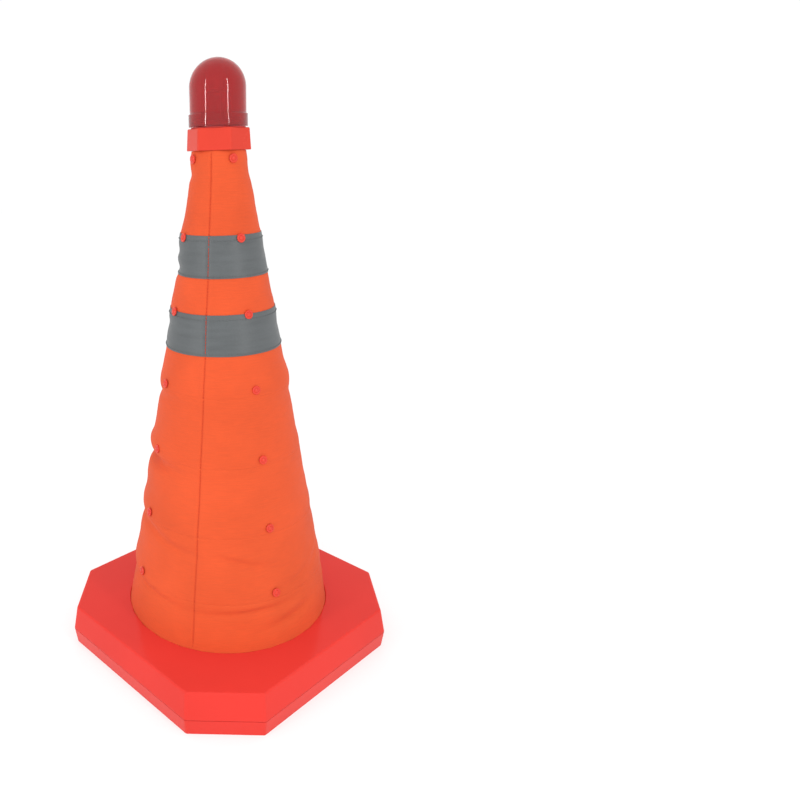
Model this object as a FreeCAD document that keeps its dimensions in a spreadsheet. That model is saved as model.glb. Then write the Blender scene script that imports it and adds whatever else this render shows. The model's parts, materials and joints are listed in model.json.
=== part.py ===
import FreeCAD, Part

# Collapsible traffic cone with a lamp on top.
# Millimetres, +Z up, origin at the middle of the base's underside.
# A fabric sleeve hangs on six flat hoops, and a conical wire spring inside holds it up.
# Pushed down, the hoops nest inside one another in the well of the octagonal base.

import math
import os
import re

import Sketcher
from FreeCAD import Placement, Rotation, Vector

# ---------------------------------------------------------------- driving dimensions

HOOP_HEIGHTS = (112, 187, 265, 343, 426, 508)
HOOP_COUNT = len(HOOP_HEIGHTS)

DIMENSIONS = {
    # base
    "base_height": 50,
    "seam_height": 19.4,
    "seam_half_width": 168,
    "top_half_width": 163.2,
    "tray_half_width": 165.2,
    "seam_half_corner": 194.6,
    "top_half_corner": 189.1,
    "tray_half_corner": 191.6,
    "shell_wall": 2.5,
    "seam_gap": 0.4,
    "edge_round": 2.5,
    "corner_round": 4,
    "rim_overlap": 4.5,
    "well_mouth_radius": 125.6,
    "well_wall_radius": 127.5,
    "hem_ring_foot": 43.7,
    "screw_post_offset": 119,
    "screw_post_radius": 6,
    "screw_radius": 1.5,
    "screw_head_radius": 3,
    "screw_head_height": 2.2,
    "screw_length": 30,
    # fabric sleeve
    "cone_foot_radius": 134.9,
    "cone_taper": 0.1768,
    "hem_radius": 124.8,
    "hem_flange_radius": 132,
    "cloth": 0.8,
    "hoop_lap": 7,
    "panel_gap": 0.3,
    "band_cloth": 0.7,
    "band_gap": 0.25,
    "lower_band_foot": 382,
    "upper_band_foot": 465.7,
    "lower_band_lap": 1,
    "upper_band_lap": 3.5,
    "neck_cloth_radius": 30.2,
    "neck_cloth_foot": 584,
    # hoops and rivets
    "hoop_width": 10,
    "hoop_wall": 2,
    "hoop_clearance": 0.25,
    "rivet_azimuth": -15,
    "rivet_head_radius": 5,
    "rivet_head_height": 2.2,
    "rivet_crown_radius": 2.6,
    "rivet_crown_height": 0.8,
    "rivet_shank_radius": 2,
    "rivet_hole_radius": 2.3,
    "rivet_stand_off": 1.15,
    # spring
    "wire_radius": 1.25,
    "spring_foot_radius": 106,
    "spring_top_radius": 21.5,
    "spring_foot_height": 4.1,
    "spring_top_height": 597.5,
    "spring_turns": 7,
    # collar
    "collar_foot": 600.5,
    "collar_top": 624,
    "collar_foot_half_width": 31.5,
    "collar_top_half_width": 30.2,
    "collar_round": 3.5,
    "neck_foot": 580,
    "neck_radius": 29,
    "neck_bore_radius": 27,
    "neck_socket_depth": 3.5,
    "spring_seat_bore_radius": 19,
    "spring_seat_height": 600,
    "deck_thickness": 2.5,
    "lamp_socket_radius": 18.4,
    "neck_rivet_height": 592,
    "neck_taper": 0,
    # lamp
    "lens_foot": 625.3,
    "lens_rim_top": 638.8,
    "lens_rim_radius": 32.5,
    "lens_radius": 31,
    "lens_wall": 2,
    "lens_top": 697,
    "lens_lip_radius": 26.7,
    "lens_lip_thickness": 1.3,
    "lamp_flange_radius": 27.8,
    "lamp_neck_radius": 26.2,
    "lamp_cup_radius": 18,
    "lamp_cup_foot": 606,
    "cup_wall": 2,
    "holder_width": 25,
    "holder_depth": 14,
    "holder_top": 661,
    "cell_radius": 5.25,
    "cell_length": 44.5,
    "cell_spacing": 11.8,
    "cell_foot": 610.4,
    "contact_thickness": 0.5,
    "board_radius": 13,
    "board_thickness": 1.6,
    "led_radius": 2.5,
    "led_ring_radius": 7.5,
    "led_height": 8.6,
}

for hoop_number, hoop_height in enumerate(HOOP_HEIGHTS, start=1):
    DIMENSIONS["hoop_%d_height" % hoop_number] = hoop_height

doc = FreeCAD.newDocument("traffic_cone")
sheet = doc.addObject("Spreadsheet::Sheet", "Dimensions")
for row, (alias, number) in enumerate(DIMENSIONS.items(), start=1):
    sheet.set("A%d" % row, alias.replace("_", " "))
    sheet.set("B%d" % row, str(number))
    sheet.setAlias("B%d" % row, alias)
doc.recompute()

ALIAS_WORDS = re.compile(r"\b(%s)\b" % "|".join(DIMENSIONS))
NODES = []


def cell(alias):
    """The number that a cell of the sheet holds."""
    return float(sheet.get(alias))


def bind(item, path, formula):
    """Ties one property to a formula written in the sheet's aliases."""
    item.setExpression(path, ALIAS_WORDS.sub(r"Dimensions.\1", formula))


def cone_radius(height):
    """Formula of the sleeve's outer radius at a height."""
    return "(cone_foot_radius - cone_taper * (%s))" % height


def keep(item, node):
    """Names a finished sub-part; the label is also its file name."""
    item.Label = node
    NODES.append(item)
    return item


# ---------------------------------------------------------------- shared builders

def primitive(kind, name, sizes, low, across=None, along=None):
    """A Part primitive standing on the height low; sizes maps properties to formulas."""
    item = doc.addObject("Part::" + kind, name)
    for size, formula in sizes.items():
        bind(item, size, formula)
    bind(item, "Placement.Base.z", low)
    if across is not None:
        bind(item, "Placement.Base.x", across)
    if along is not None:
        bind(item, "Placement.Base.y", along)
    return item


def cylinder(name, low, high, radius, across=None, along=None):
    sizes = {"Radius": radius, "Height": "(%s) - (%s)" % (high, low)}
    return primitive("Cylinder", name, sizes, low, across, along)


def cone(name, low, high, radius_low, radius_high, across=None, along=None):
    sizes = {"Radius1": radius_low, "Radius2": radius_high, "Height": "(%s) - (%s)" % (high, low)}
    return primitive("Cone", name, sizes, low, across, along)


def box(name, low, high, width, depth):
    """A box centred on the Z axis."""
    sizes = {"Length": width, "Width": depth, "Height": "(%s) - (%s)" % (high, low)}
    return primitive("Box", name, sizes, low, "-(%s) / 2" % width, "-(%s) / 2" % depth)


def cut(name, base, *tools):
    result = base
    for step, tool in enumerate(tools):
        feature = doc.addObject("Part::Cut", "%s_cut_%d" % (name, step))
        feature.Base = result
        feature.Tool = tool
        result = feature
    return result


def fuse(name, *items):
    feature = doc.addObject("Part::MultiFuse", name + "_fuse")
    feature.Shapes = list(items)
    feature.Refine = True
    return feature


def group(name, *items):
    feature = doc.addObject("Part::Compound", name + "_group")
    feature.Links = list(items)
    return feature


def ring(name, low, high, outer, inner):
    return cut(name, cylinder(name + "_outer", low, high, outer), cylinder(name + "_bore", low, high, inner))


def tapered_ring(name, low, high, radius_low, radius_high, wall):
    """A conical sleeve of even wall, measured level with the floor."""
    outer = cone(name + "_outer", low, high, radius_low, radius_high)
    inner = cone(name + "_inner", low, high, "(%s) - %s" % (radius_low, wall), "(%s) - %s" % (radius_high, wall))
    return cut(name, outer, inner)


def tapered_prism(name, low, high, sides):
    """A block with sloping flat sides. Each side pair is (direction in degrees,
    half width at the foot, half width at the top); the block is what all of them leave."""
    slabs = []
    for turn, half_low, half_high in sides:
        slab = doc.addObject("Part::Wedge", name + "_slab")
        for end, half in (("", half_low), ("2", half_high)):
            bind(slab, "X%smin" % end, "-(%s)" % half)
            bind(slab, "X%smax" % end, half)
            bind(slab, "Z%smin" % end, "-2 * (%s)" % half_low)
            bind(slab, "Z%smax" % end, "2 * (%s)" % half_low)
        slab.Ymin = 0
        bind(slab, "Ymax", "(%s) - (%s)" % (high, low))
        upright = Rotation(Vector(1, 0, 0), 90)
        slab.Placement = Placement(Vector(0, 0, 0), Rotation(Vector(0, 0, 1), turn) * upright)
        bind(slab, "Placement.Base.z", low)
        slabs.append(slab)
    block = doc.addObject("Part::MultiCommon", name + "_block")
    block.Shapes = slabs
    block.Refine = True
    return block


def octagon(name, low, high, foot, top):
    """A square block with cut corners; foot and top are (half width, half distance
    between opposite cut corners)."""
    sides = []
    for turn in (0, 90):
        sides.append((turn, foot[0], top[0]))
    for turn in (45, 135):
        sides.append((turn, foot[1], top[1]))
    return tapered_prism(name, low, high, sides)


def rivet_drill(name, height):
    """Two crossed rods along X and Y: the four rivet holes of one level."""
    rods = []
    for axis in (Vector(0, 1, 0), Vector(-1, 0, 0)):
        rod = doc.addObject("Part::Cylinder", name + "_rod")
        bind(rod, "Radius", "rivet_hole_radius")
        bind(rod, "Height", "2 * cone_foot_radius")
        rod.Placement = Placement(Vector(-cell("cone_foot_radius") * axis.y,
                                         cell("cone_foot_radius") * axis.x, 0), Rotation(axis, 90))
        bind(rod, "Placement.Base.z", height)
        rods.append(rod)
    return fuse(name, *rods)


def turn_to_rivets(item):
    """Turns a finished sub-part so that its rivets stand at the rivet azimuth."""
    item.Placement = Placement(Vector(0, 0, 0), Rotation(Vector(0, 0, 1), cell("rivet_azimuth")))


def origin_feature(body, role):
    for feature in body.Origin.OriginFeatures:
        if feature.Role == role:
            return feature
    raise ValueError("no origin feature " + role)


def new_body(node):
    body = doc.addObject("PartDesign::Body", node)
    body.AllowCompound = True
    return body


def sketch_on(body, role, name, offset="0"):
    """An empty sketch on one of the body's own origin planes."""
    sketch = body.newObject("Sketcher::SketchObject", name)
    sketch.AttachmentSupport = (origin_feature(body, role), [""])
    sketch.MapMode = "FlatFace"
    bind(sketch, "AttachmentOffset.Base.z", offset)
    return sketch


def drive(sketch, name, formula, *constraint):
    """Adds a driving constraint, names it and binds it to the sheet."""
    index = sketch.addConstraint(Sketcher.Constraint(*constraint))
    sketch.renameConstraint(index, name)
    bind(sketch, "Constraints." + name, formula)


def close_outline(sketch, corners):
    for start, end in zip(corners, corners[1:] + corners[:1]):
        sketch.addGeometry(Part.LineSegment(Vector(*start, 0), Vector(*end, 0)), False)
    for side in range(len(corners)):
        sketch.addConstraint(Sketcher.Constraint("Coincident", side, 2, (side + 1) % len(corners), 1))


def circle_sketch(body, name, height, radius, across=None, along=None):
    """A circle parallel to the XY plane, in the middle unless across and along are given."""
    sketch = sketch_on(body, "XY_Plane", name, height)
    sketch.addGeometry(Part.Circle(Vector(50, 50, 0), Vector(0, 0, 1), 10), False)
    drive(sketch, "radius", radius, "Radius", 0, 10)
    if across is None:
        sketch.addConstraint(Sketcher.Constraint("Coincident", 0, 3, -1, 1))
    else:
        drive(sketch, "across", across, "DistanceX", -1, 1, 0, 3, 50)
        drive(sketch, "along", along, "DistanceY", -1, 1, 0, 3, 50)
    return sketch


def outline_sketch(body, name, points):
    """A closed outline on the XZ plane; each point is a pair of formulas, across and up."""
    sketch = sketch_on(body, "XZ_Plane", name)
    corners = []
    for step in range(len(points)):
        angle = 2 * math.pi * step / len(points)
        corners.append((200 + 50 * math.cos(angle), 200 + 50 * math.sin(angle)))
    close_outline(sketch, corners)
    level_axis, upright_axis = -1, -2
    for side, (across, up) in enumerate(points):
        if across == "0":
            sketch.addConstraint(Sketcher.Constraint("PointOnObject", side, 1, upright_axis))
        else:
            drive(sketch, "across_%d" % side, across, "DistanceX", -1, 1, side, 1, corners[side][0])
        if up == "0":
            sketch.addConstraint(Sketcher.Constraint("PointOnObject", side, 1, level_axis))
        else:
            drive(sketch, "up_%d" % side, up, "DistanceY", -1, 1, side, 1, corners[side][1])
    return sketch


def add_feature(body, kind, name, profile):
    """A sketched feature; it becomes the body's tip."""
    feature = body.newObject("PartDesign::" + kind, name)
    feature.Profile = profile
    body.Tip = feature
    return feature


def pocket(body, sketch, depth):
    """A cut upwards from the sketch; the volume shows that it took something away."""
    before = body.Shape.Volume
    feature = add_feature(body, "Pocket", sketch.Name + "_pocket", sketch)
    bind(feature, "Length", depth)
    feature.Reversed = True
    doc.recompute()
    if body.Shape.Volume > before - 1:
        raise ValueError("nothing cut by " + feature.Name)
    return feature


def revolve(body, sketch, axis="V_Axis"):
    feature = add_feature(body, "Revolution", sketch.Name + "_turn", sketch)
    feature.ReferenceAxis = (sketch, [axis])
    feature.Angle = 360
    doc.recompute()
    return feature


def repeat_around(body, features, count):
    """Repeats features around the Z axis."""
    pattern = body.newObject("PartDesign::PolarPattern", body.Name + "_around")
    pattern.Originals = features
    pattern.Axis = (origin_feature(body, "Z_Axis"), [""])
    pattern.Angle = 360
    pattern.Occurrences = count
    body.Tip = pattern
    doc.recompute()
    return pattern


def round_edges(name, item, edges, radius):
    feature = doc.addObject("Part::Fillet", name + "_round")
    feature.Base = item
    feature.Edges = [(number, radius, radius) for number in edges]
    doc.recompute()
    return feature


def upright_edges(shape):
    """Numbers of the straight edges that climb from one height to another."""
    numbers = []
    for number, edge in enumerate(shape.Edges, start=1):
        if edge.BoundBox.ZLength > 1:
            numbers.append(number)
    return numbers


def level_edges(shape, height):
    """Numbers of the edges that lie at one height."""
    numbers = []
    for number, edge in enumerate(shape.Edges, start=1):
        if abs(edge.BoundBox.ZMin - height) < 0.001 and abs(edge.BoundBox.ZMax - height) < 0.001:
            numbers.append(number)
    return numbers


# ---------------------------------------------------------------- base

POST_CORNERS = [(across, along) for across in ("", "-") for along in ("", "-")]


def four_posts(name, low, high, radius):
    """Upright round bars at the four screw places."""
    posts = []
    for number, (across, along) in enumerate(POST_CORNERS):
        posts.append(cylinder("%s_%d" % (name, number), low, high, radius,
                              across + "screw_post_offset", along + "screw_post_offset"))
    return fuse(name, *posts)


def make_base_shell():
    """The moulded octagonal top: sloping sides, rounded edges, a round mouth and four posts."""
    block = octagon("shell", "seam_height", "base_height",
                    ("seam_half_width", "seam_half_corner"), ("top_half_width", "top_half_corner"))
    doc.recompute()
    block = round_edges("shell_side", block, upright_edges(block.Shape), cell("corner_round"))
    block = round_edges("shell_top", block, level_edges(block.Shape, cell("base_height")), cell("edge_round"))
    hollow = octagon("shell_hollow", "seam_height - shell_wall", "base_height - shell_wall",
                     ("seam_half_width - shell_wall", "seam_half_corner - shell_wall"),
                     ("top_half_width - shell_wall", "top_half_corner - shell_wall"))
    mouth = cylinder("shell_mouth", "base_height - 2 * shell_wall", "base_height + shell_wall", "well_mouth_radius")
    posts = four_posts("shell_post", "seam_height + seam_gap", "base_height - 0.5 * shell_wall", "screw_post_radius")
    holes = four_posts("shell_hole", "seam_height", "base_height - 2 * shell_wall", "screw_radius + 0.05")
    shell = fuse("shell", cut("shell_walls", block, hollow, mouth), posts)
    return keep(cut("shell_drilled", shell, holes), "base_shell")


def make_base_tray():
    """The lower half: a floor, a low wall with a locating lip, the well's round wall and posts."""
    half = "tray_half_width"
    corner = "tray_half_corner"
    block = octagon("tray", "0", "seam_height - seam_gap",
                    (half, corner), ("seam_half_width - 0.2", "seam_half_corner - 0.2"))
    doc.recompute()
    block = round_edges("tray_side", block, upright_edges(block.Shape), cell("corner_round"))
    inset = " - shell_wall"
    lip = octagon("tray_lip", "shell_wall", "seam_height + rim_overlap",
                  (half + inset, corner + inset), (half + inset, corner + inset))
    inset = " - 2 * shell_wall"
    hollow = octagon("tray_hollow", "shell_wall", "base_height",
                     (half + inset, corner + inset), (half + inset, corner + inset))
    well = ring("tray_well", "0.5 * shell_wall", "hem_ring_foot", "well_wall_radius + shell_wall", "well_wall_radius")
    posts = four_posts("tray_post", "0.5 * shell_wall", "seam_height", "screw_post_radius")
    bores = four_posts("tray_bore", "-1", "base_height", "screw_radius + 0.2")
    sinks = four_posts("tray_sink", "-1", "screw_head_height + 1.2", "screw_head_radius + 0.3")
    walls = cut("tray_walls", fuse("tray_shell", block, lip), hollow)
    return keep(cut("tray_drilled", fuse("tray_inside", walls, well, posts), bores, sinks), "base_tray")


def make_base_screws():
    """Four screws that hold the two halves of the base together, sunk in the tray's underside."""
    heads = four_posts("screw_head", "1", "1 + screw_head_height", "screw_head_radius")
    shanks = four_posts("screw_shank", "1", "screw_length", "screw_radius")
    return keep(fuse("base_screws", heads, shanks), "base_screws")


def make_hem_ring():
    """Clamps the sleeve's hem under the shell's top plate; the well's wall pushes it up."""
    return keep(ring("hem_ring", "hem_ring_foot", "base_height - shell_wall - cloth",
                     "hem_flange_radius", "hem_radius - 3.5"), "hem_ring")


def make_catch_ring():
    """Six springy hooks on the floor that hold the collar's neck when the cone is pushed down."""
    body = new_body("catch_ring")
    bore = "neck_bore_radius - 4"
    wall = "neck_bore_radius - 2"
    points = [(bore, "shell_wall"), (wall, "shell_wall"), (wall, "10"), ("neck_bore_radius - 0.6", "12"),
              (wall, "14"), (bore, "14")]
    revolve(body, outline_sketch(body, "hook_outline", points))
    slot = circle_sketch(body, "hook_slot", "shell_wall + 2", "2.5", "neck_bore_radius - 3", "0.001")
    slot_pocket = pocket(body, slot, "12")
    repeat_around(body, [slot_pocket], 6)
    return keep(body, "catch_ring")



# ---------------------------------------------------------------- sleeve, hoops and rivets

def hoop_height(number):
    return "hoop_%d_height" % number


def skin(name, low, high, lift, wall, radius_low=None, radius_high=None):
    """A piece of the cone's skin, its outside lifted off the sleeve's own surface."""
    outer_low = "%s + (%s)" % (radius_low or cone_radius(low), lift)
    outer_high = "%s + (%s)" % (radius_high or cone_radius(high), lift)
    return tapered_ring(name, low, high, outer_low, outer_high, wall)


def make_hoop(number):
    """A flat plastic hoop just inside the sleeve, with four rivet holes."""
    node = "hoop_%d" % number
    height = hoop_height(number)
    strip = skin(node, height + " - hoop_width / 2", height + " + hoop_width / 2",
                 "-cloth - hoop_clearance", "hoop_wall")
    hoop = cut(node + "_drilled", strip, rivet_drill(node, height))
    turn_to_rivets(hoop)
    return keep(hoop, node)


def make_rivets(node, height, surface, grip, taper):
    """Four rivets square to what they hold: an inner flange, a shank and a round ringed head."""
    body = new_body(node)
    flange = "1"
    head_foot = "1 + %s + rivet_stand_off" % grip
    shoulder = head_foot + " + rivet_head_height"
    crown = shoulder + " + rivet_crown_height"
    points = [("0", "0"), ("0", "rivet_shank_radius + 1.2"), (flange, "rivet_shank_radius + 1.2"),
              (flange, "rivet_shank_radius"), (head_foot, "rivet_shank_radius"),
              (head_foot, "rivet_head_radius"), (head_foot + " + rivet_head_height / 2", "rivet_head_radius"),
              (shoulder, "rivet_head_radius - 1"), (shoulder, "rivet_crown_radius"),
              (crown, "rivet_crown_radius - 0.6"), (crown, "0")]
    outline = outline_sketch(body, node + "_outline", points)
    tilt = math.degrees(math.atan(cell(taper)))
    outline.AttachmentOffset = Placement(Vector(0, 0, 0), Rotation(Vector(0, 0, 1), tilt))
    bind(outline, "AttachmentOffset.Base.x", "%s - (1 + %s)" % (surface, grip))
    bind(outline, "AttachmentOffset.Base.y", "%s - (1 + %s) * %s" % (height, grip, taper))
    rivet = revolve(body, outline, "H_Axis")
    repeat_around(body, [rivet], 4)
    turn_to_rivets(body)
    return keep(body, node)


def make_hem_panel():
    """The lowest panel of the sleeve, with the flat hem that the hem ring clamps."""
    foot = "base_height - shell_wall - cloth"
    top = hoop_height(1) + " - hoop_lap - panel_gap / 2"
    wall = skin("hem_panel", foot, top, "0", "cloth", "hem_radius + 0.5")
    flange = ring("hem_flange", foot, foot + " + cloth", "hem_flange_radius", "hem_radius")
    return keep(fuse("hem_panel", wall, flange), "sleeve_panel_1")


def make_panel(number):
    """A panel of the sleeve, from just under one hoop to just under the next."""
    node = "sleeve_panel_%d" % number
    low = hoop_height(number - 1) + " - hoop_lap + panel_gap / 2"
    high = hoop_height(number) + " - hoop_lap - panel_gap / 2"
    wall = skin(node, low, high, "0", "cloth")
    panel = cut(node + "_drilled", wall, rivet_drill(node, hoop_height(number - 1)))
    turn_to_rivets(panel)
    return keep(panel, node)


def make_neck_panel():
    """The top panel, whose upper end lies round the collar's neck."""
    node = "sleeve_panel_%d" % (HOOP_COUNT + 1)
    low = hoop_height(HOOP_COUNT) + " - hoop_lap + panel_gap / 2"
    lower = skin(node + "_lower", low, "neck_cloth_foot", "0", "cloth")
    upper = skin(node + "_upper", "neck_cloth_foot", "collar_foot - panel_gap", "0", "cloth",
                 None, "neck_cloth_radius")
    drills = rivet_drill(node + "_hoop", hoop_height(HOOP_COUNT)), rivet_drill(node + "_neck", "neck_rivet_height")
    panel = cut(node + "_drilled", fuse(node, lower, upper), *drills)
    turn_to_rivets(panel)
    return keep(panel, node)


def make_band(node, foot, number, lap):
    """A reflective band sewn round the sleeve; its upper edge is riveted to a hoop."""
    height = hoop_height(number)
    strip = skin(node, foot, "%s + %s" % (height, lap), "band_gap + band_cloth", "band_cloth")
    band = cut(node + "_drilled", strip, rivet_drill(node, height))
    turn_to_rivets(band)
    return keep(band, node)


def make_main_spring():
    """The conical wire spring that holds the cone up, from the tray's floor to the collar."""
    rise = "(spring_top_height - spring_foot_height)"
    helix = doc.addObject("Part::Helix", "spring_line")
    bind(helix, "Height", rise)
    bind(helix, "Pitch", rise + " / spring_turns")
    bind(helix, "Radius", "spring_foot_radius")
    bind(helix, "Angle", "atan((spring_top_radius - spring_foot_radius) / %s)" % rise)
    bind(helix, "Placement.Base.z", "spring_foot_height")
    wire = doc.addObject("Part::Circle", "spring_wire")
    bind(wire, "Radius", "wire_radius")
    wire.Placement = Placement(Vector(0, 0, 0), Rotation(Vector(1, 0, 0), 90))
    bind(wire, "Placement.Base.x", "spring_foot_radius")
    bind(wire, "Placement.Base.z", "spring_foot_height")
    doc.recompute()
    spring = doc.addObject("Part::Sweep", "spring_sweep")
    spring.Sections = [wire]
    spring.Spine = (helix, ["Edge%d" % (number + 1) for number in range(len(helix.Shape.Edges))])
    spring.Solid = True
    spring.Frenet = True
    return keep(spring, "main_spring")


# ---------------------------------------------------------------- collar and lamp

COLLAR_SIDE_DIRECTIONS = (8, 68, 128)


def make_collar():
    """The hexagonal cap that carries the lamp, bored for the neck below and the lamp's cup above."""
    sides = [(turn, "collar_foot_half_width", "collar_top_half_width") for turn in COLLAR_SIDE_DIRECTIONS]
    block = tapered_prism("collar", "collar_foot", "collar_top", sides)
    doc.recompute()
    block = round_edges("collar_side", block, upright_edges(block.Shape), cell("collar_round"))
    block = round_edges("collar_top", block, level_edges(block.Shape, cell("collar_top")), 1)
    inside = cylinder("collar_inside", "neck_foot", "collar_top - deck_thickness", "neck_bore_radius")
    rebate = cylinder("collar_rebate", "neck_foot", "collar_foot + neck_socket_depth", "neck_radius")
    socket = cylinder("collar_socket", "collar_foot + 5", "collar_top + 1", "lamp_socket_radius")
    return keep(cut("collar", block, inside, rebate, socket), "collar")


def make_collar_neck():
    """The tube under the collar that the sleeve's top is riveted to; it is set into the collar."""
    neck = ring("neck_tube", "neck_foot", "collar_foot + neck_socket_depth", "neck_radius", "neck_bore_radius")
    tube = cut("neck_drilled", neck, rivet_drill("neck", "neck_rivet_height"))
    turn_to_rivets(tube)
    return keep(tube, "collar_neck")


def make_spring_seat():
    """The washer inside the neck that the main spring pushes on."""
    return keep(ring("spring_seat", "spring_seat_height", "spring_seat_height + 2",
                     "neck_bore_radius", "spring_seat_bore_radius"), "spring_seat")


def make_lens():
    """The red lamp cover: a dome on a straight wall, a thicker rim and an inner snap lip."""
    centre = "lens_top - lens_radius"
    bore = "lens_radius - lens_wall"
    rim = cylinder("lens_rim", "lens_foot", "lens_rim_top", "lens_rim_radius")
    wall = cylinder("lens_wall", "lens_foot", centre, "lens_radius")
    dome = primitive("Sphere", "lens_dome", {"Radius": "lens_radius"}, centre)
    room = cylinder("lens_room", "lens_foot + lens_lip_thickness", centre, bore)
    vault = primitive("Sphere", "lens_vault", {"Radius": bore}, centre)
    mouth = cylinder("lens_mouth", "lens_foot - 1", "lens_rim_top", "lens_lip_radius")
    outside = fuse("lens_outside", rim, wall, dome)
    return keep(cut("lens_shell", outside, fuse("lens_hollow", room, vault, mouth)), "lens")


def make_lens_seal():
    return keep(ring("lens_seal", "collar_top", "lens_foot - 0.2",
                     "collar_top_half_width - 0.3", "lamp_neck_radius + 0.5"), "lens_seal")


def make_lamp_base():
    """Carries the battery holder in its cup; the lens snaps over its flange and turns on it."""
    lip_top = "lens_foot + lens_lip_thickness + 0.3"
    flange = cylinder("lamp_flange", lip_top, lip_top + " + 3", "lamp_flange_radius")
    neck = cylinder("lamp_neck", "collar_top", lip_top, "lamp_neck_radius")
    cup = cylinder("lamp_cup", "lamp_cup_foot", "collar_top", "lamp_cup_radius")
    room = cylinder("lamp_room", "lamp_cup_foot + cup_wall", lip_top + " + 4", "lamp_cup_radius - cup_wall")
    return keep(cut("lamp_base", fuse("lamp_base", flange, neck, cup), room), "lamp_base")


def pair(name, low, high, radius):
    """Two upright bars, one at each battery's place."""
    left = cylinder(name + "_left", low, high, radius, "-cell_spacing / 2")
    right = cylinder(name + "_right", low, high, radius, "cell_spacing / 2")
    return fuse(name, left, right)


def make_battery_holder():
    block = box("holder", "lamp_cup_foot + cup_wall", "holder_top", "holder_width", "holder_depth")
    rooms = pair("holder_room", "lamp_cup_foot", "cell_foot + cell_length + 1.5", "cell_radius + 0.2")
    return keep(cut("holder", block, rooms), "battery_holder")


def make_batteries():
    bodies = pair("cell_body", "cell_foot", "cell_foot + cell_length - 1", "cell_radius")
    nubs = pair("cell_nub", "cell_foot + cell_length - 1", "cell_foot + cell_length", "0.35 * cell_radius")
    return keep(fuse("batteries", bodies, nubs), "batteries")


def make_battery_contacts():
    lower = pair("contact_foot", "cell_foot - contact_thickness", "cell_foot", "0.8 * cell_radius")
    top = "cell_foot + cell_length"
    upper = pair("contact_top", top, top + " + contact_thickness", "0.8 * cell_radius")
    return keep(group("battery_contacts", lower, upper), "battery_contacts")


def make_led_board():
    return keep(cylinder("led_board", "holder_top", "holder_top + board_thickness", "board_radius"), "led_board")


def make_leds():
    """Four round lamps on the board, each with a collar at its foot and a domed top."""
    foot = "holder_top + board_thickness"
    dome = "%s + led_height - led_radius" % foot
    lamps = []
    for number, (across, along) in enumerate((("", "0 * "), ("0 * ", ""), ("-", "0 * "), ("0 * ", "-"))):
        place = (across + "led_ring_radius", along + "led_ring_radius")
        name = "led_%d" % number
        lamps.append(cylinder(name + "_foot", foot, foot + " + 1", "led_radius + 0.4", *place))
        lamps.append(cylinder(name + "_body", foot, dome, "led_radius", *place))
        lamps.append(primitive("Sphere", name + "_dome", {"Radius": "led_radius"}, dome, *place))
    return keep(fuse("leds", *lamps), "leds")


def make_switch_leaf():
    """The brass leaf on the lamp base that the turning lens presses to close the circuit."""
    foot = "lens_foot + lens_lip_thickness + 3.3"
    tab = box("leaf_tab", foot, foot + " + 0.6", "7", "4")
    blade = box("leaf_blade", foot, foot + " + 8", "7", "0.6")
    leaf = fuse("switch_leaf", tab, blade)
    leaf.Placement = Placement(Vector(0, -cell("lamp_cup_radius") - 3, 0), Rotation())
    return keep(leaf, "switch_leaf")


# ---------------------------------------------------------------- the whole cone

def make_all():
    make_base_shell()
    make_base_tray()
    make_base_screws()
    make_hem_ring()
    make_catch_ring()
    make_main_spring()
    make_hem_panel()
    for number in range(1, HOOP_COUNT + 1):
        make_hoop(number)
        grip = "(cloth + hoop_clearance + hoop_wall + 0.25)"
        surface = cone_radius(hoop_height(number))
        make_rivets("hoop_%d_rivets" % number, hoop_height(number), surface, grip, "cone_taper")
    for number in range(2, HOOP_COUNT + 1):
        make_panel(number)
    make_neck_panel()
    make_band("lower_band", "lower_band_foot", 5, "lower_band_lap")
    make_band("upper_band", "upper_band_foot", 6, "upper_band_lap")
    make_collar()
    make_collar_neck()
    make_spring_seat()
    make_rivets("collar_rivets", "neck_rivet_height", "(neck_cloth_radius + 0.6)",
                "(neck_cloth_radius + 0.6 - neck_bore_radius + 0.25)", "neck_taper")
    make_lamp_base()
    make_battery_holder()
    make_batteries()
    make_battery_contacts()
    make_led_board()
    make_leds()
    make_switch_leaf()
    make_lens_seal()
    make_lens()


def check_all():
    """Stops if any object failed to compute or any sub-part is not a sound solid."""
    for item in doc.Objects:
        if "Invalid" in item.State or "Error" in item.State:
            raise ValueError("failed: " + item.Label)
    for item in NODES:
        shape = item.Shape
        if shape.isNull() or not shape.isValid() or not shape.Solids:
            raise ValueError("unsound: " + item.Label)


def write_all():
    os.makedirs("parts", exist_ok=True)
    for item in NODES:
        item.Shape.exportStep("parts/%s.step" % item.Label)


make_all()
doc.recompute()
check_all()
write_all()
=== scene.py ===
# Looks for the collapsible traffic cone. Metres, +Z up, origin under the middle of the base.
# The sleeve is one cloth that folds between the hoops; it is made here as seven panels.

import json
import math

import bmesh
import bpy
import numpy as np
from mathutils import Matrix, Vector, noise


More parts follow.
